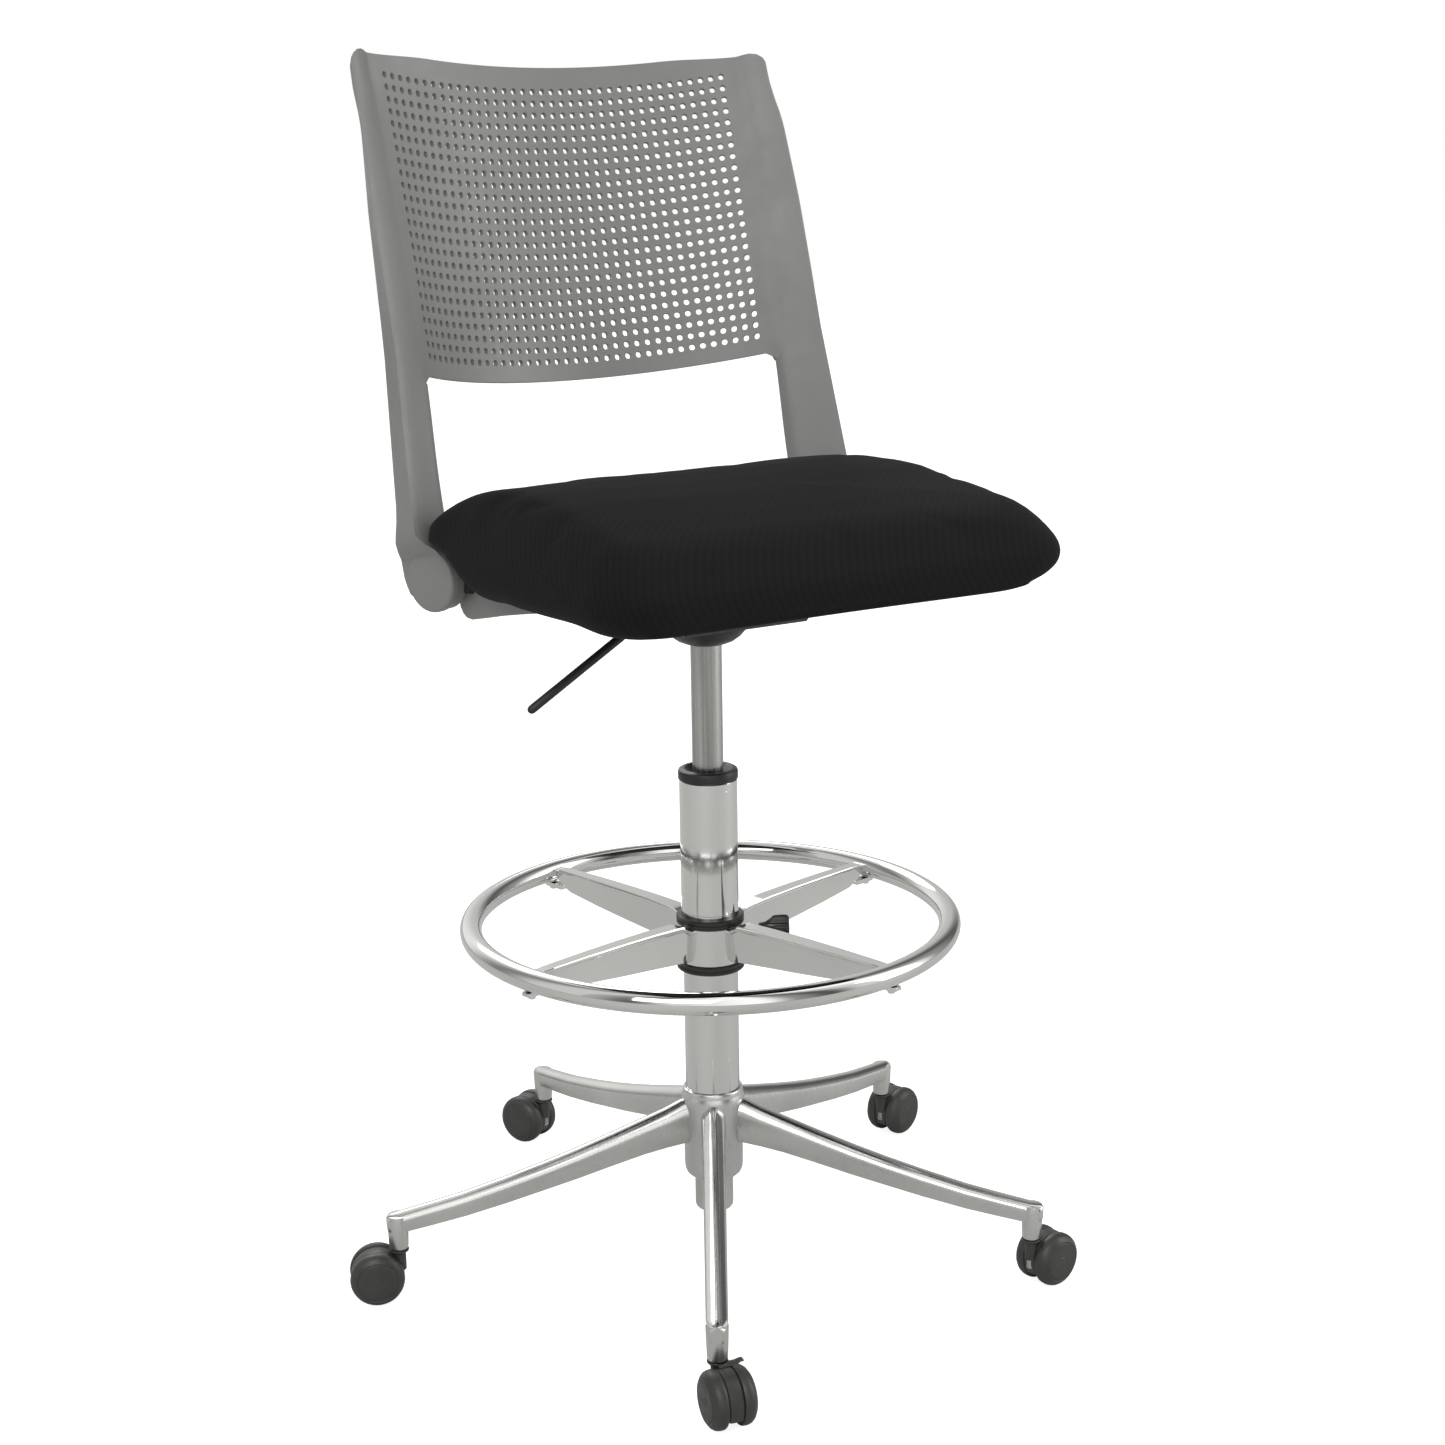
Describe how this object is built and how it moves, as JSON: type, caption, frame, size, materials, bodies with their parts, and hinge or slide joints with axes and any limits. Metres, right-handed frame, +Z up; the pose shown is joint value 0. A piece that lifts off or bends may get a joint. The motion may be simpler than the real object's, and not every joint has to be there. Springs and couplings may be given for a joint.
{
  "type": "drafting chair",
  "caption": "Armless drafting chair: cushioned seat, perforated curved back, gas-lift column, clamped foot ring and star base on twin-wheel casters.",
  "frame": {"origin": "centre of the overall box, at floor level, under the chair", "axes": "+Z up, the sitter faces -Y, +X to the sitter's left"},
  "size_m": [0.6623, 0.6462, 1.0978],
  "materials": {
    "polished_aluminium": "polished die casting",
    "chrome": "bright chrome plate",
    "bright_steel": "satin ground steel",
    "black_plastic": "black, lightly grained",
    "caster_nylon": "satin black nylon",
    "grey_plastic": "warm grey, fine grain",
    "seat_fabric": "black woven twill"
  },
  "bodies": {
    "base": {"star_base": "polished_aluminium", "column_tube": "chrome", "column_sleeve": "chrome", "guide_bush": "black_plastic", "thrust_race_lower": "bright_steel", "column_end_plug": "polished_aluminium", "sleeve_pin": "chrome", "caster_pin_1": "bright_steel", "caster_pin_2": "bright_steel", "caster_pin_3": "bright_steel", "caster_pin_4": "bright_steel", "caster_pin_5": "bright_steel"},
    "spindle": {"piston_rod": "bright_steel", "piston": "black_plastic", "thrust_race_upper": "bright_steel", "thrust_cage": "black_plastic", "rod_clip": "bright_steel", "rod_buffer": "black_plastic"},
    "seat": {"gas_cylinder": "bright_steel", "rod_guide": "black_plastic", "mechanism_cover": "black_plastic", "mechanism_block": "black_plastic", "lever_pivot_pin": "bright_steel", "seat_pan": "grey_plastic", "seat_cushion": "seat_fabric", "hinge_arm_left": "grey_plastic", "hinge_arm_right": "grey_plastic", "hinge_pin_left": "bright_steel", "hinge_pin_right": "bright_steel", "hinge_spring_left": "bright_steel", "hinge_spring_right": "bright_steel", "seat_bolt_left": "bright_steel", "seat_bolt_right": "bright_steel"},
    "back": {"back_shell": "grey_plastic", "hinge_cap_left": "grey_plastic", "hinge_cap_right": "grey_plastic"},
    "lever": {"release_lever": "black_plastic"},
    "valve": {"release_pin": "bright_steel"},
    "ring_slider": {"ring_bush_upper": "black_plastic", "ring_bush_lower": "black_plastic"},
    "foot_ring": {"ring_tube": "chrome", "ring_spider": "chrome"},
    "clamp": {"clamp_screw": "bright_steel"},
    "knob": {"clamp_knob": "black_plastic"},
    "caster_1": {"caster_hood_1": "caster_nylon", "caster_axle_1": "bright_steel"},
    "wheels_1": {"caster_wheels_1": "caster_nylon"},
    "caster_2": {"caster_hood_2": "caster_nylon", "caster_axle_2": "bright_steel"},
    "wheels_2": {"caster_wheels_2": "caster_nylon"},
    "caster_3": {"caster_hood_3": "caster_nylon", "caster_axle_3": "bright_steel"},
    "wheels_3": {"caster_wheels_3": "caster_nylon"},
    "caster_4": {"caster_hood_4": "caster_nylon", "caster_axle_4": "bright_steel"},
    "wheels_4": {"caster_wheels_4": "caster_nylon"},
    "caster_5": {"caster_hood_5": "caster_nylon", "caster_axle_5": "bright_steel"},
    "wheels_5": {"caster_wheels_5": "caster_nylon"}
  },
  "joints": [
    {"name": "seat_swivel", "type": "hinge", "parent": "base", "child": "spindle", "pos_m": [0.0063, -0.0222, 0.093], "axis": [0, 0, 1], "continuous": true},
    {"name": "seat_height", "type": "slide", "parent": "spindle", "child": "seat", "axis": [0, 0, 1], "range_m": [-0.1, 0.13]},
    {"name": "back_recline", "type": "hinge", "parent": "seat", "child": "back", "pos_m": [0.0063, 0.0928, 0.643], "axis": [-1, 0, 0], "range_deg": [0, 12], "stiffness_Nm_per_rad": 150, "springref_deg": -8.59},
    {"name": "height_lever", "type": "hinge", "parent": "seat", "child": "lever", "pos_m": [-0.0287, -0.0222, 0.621], "axis": [0, 1, 0], "range_deg": [0, 8], "stiffness_Nm_per_rad": 2, "springref_deg": -5.73},
    {"name": "valve_push", "type": "slide", "parent": "seat", "child": "valve", "axis": [0, 0, -1], "range_m": [0, 0.0056]},
    {"name": "ring_height", "type": "slide", "parent": "base", "child": "ring_slider", "axis": [0, 0, 1], "range_m": [-0.105, 0]},
    {"name": "ring_turn", "type": "hinge", "parent": "ring_slider", "child": "foot_ring", "pos_m": [0.0063, -0.0222, 0.305], "axis": [0, 0, 1], "continuous": true},
    {"name": "clamp_travel", "type": "slide", "parent": "foot_ring", "child": "clamp", "axis": [0.848, -0.5299, 0], "range_m": [0, 0.003]},
    {"name": "clamp_knob_turn", "type": "hinge", "parent": "clamp", "child": "knob", "pos_m": [0.0063, -0.0222, 0.314], "axis": [0.848, -0.5299, 0], "range_deg": [0, 720]},
    {"name": "caster_swivel_1", "type": "hinge", "parent": "base", "child": "caster_1", "pos_m": [-0.15268, -0.27661, 0.048], "axis": [0, 0, 1], "continuous": true},
    {"name": "wheel_spin_1", "type": "hinge", "parent": "caster_1", "child": "wheels_1", "pos_m": [-0.15659, -0.29674, 0.0245], "axis": [0.9816, -0.1908, 0], "continuous": true},
    {"name": "caster_swivel_2", "type": "hinge", "parent": "base", "child": "caster_2", "pos_m": [0.19914, -0.25201, 0.048], "axis": [0, 0, 1], "continuous": true},
    {"name": "wheel_spin_2", "type": "hinge", "parent": "caster_2", "child": "wheels_2", "pos_m": [0.21948, -0.24952, 0.0245], "axis": [-0.1219, 0.9925, 0], "continuous": true},
    {"name": "caster_swivel_3", "type": "hinge", "parent": "base", "child": "caster_3", "pos_m": [0.28446, 0.09018, 0.048], "axis": [0, 0, 1], "continuous": true},
    {"name": "wheel_spin_3", "type": "hinge", "parent": "caster_3", "child": "wheels_3", "pos_m": [0.30395, 0.09652, 0.0245], "axis": [-0.309, 0.9511, 0], "continuous": true},
    {"name": "caster_swivel_4", "type": "hinge", "parent": "base", "child": "caster_4", "pos_m": [-0.01463, 0.27707, 0.048], "axis": [0, 0, 1], "continuous": true},
    {"name": "wheel_spin_4", "type": "hinge", "parent": "caster_4", "child": "wheels_4", "pos_m": [-0.02329, 0.29565, 0.0245], "axis": [-0.9063, -0.4226, 0], "continuous": true},
    {"name": "caster_swivel_5", "type": "hinge", "parent": "base", "child": "caster_5", "pos_m": [-0.28479, 0.05038, 0.048], "axis": [0, 0, 1], "continuous": true},
    {"name": "wheel_spin_5", "type": "hinge", "parent": "caster_5", "child": "wheels_5", "pos_m": [-0.30366, 0.05839, 0.0245], "axis": [-0.3907, -0.9205, 0], "continuous": true}
  ],
  "couplings": [
    {"joint": "valve_push", "follows": "height_lever", "m_per_rad": 0.038},
    {"joint": "clamp_knob_turn", "follows": "clamp_travel", "rad_per_m": 4188.7}
  ]
}
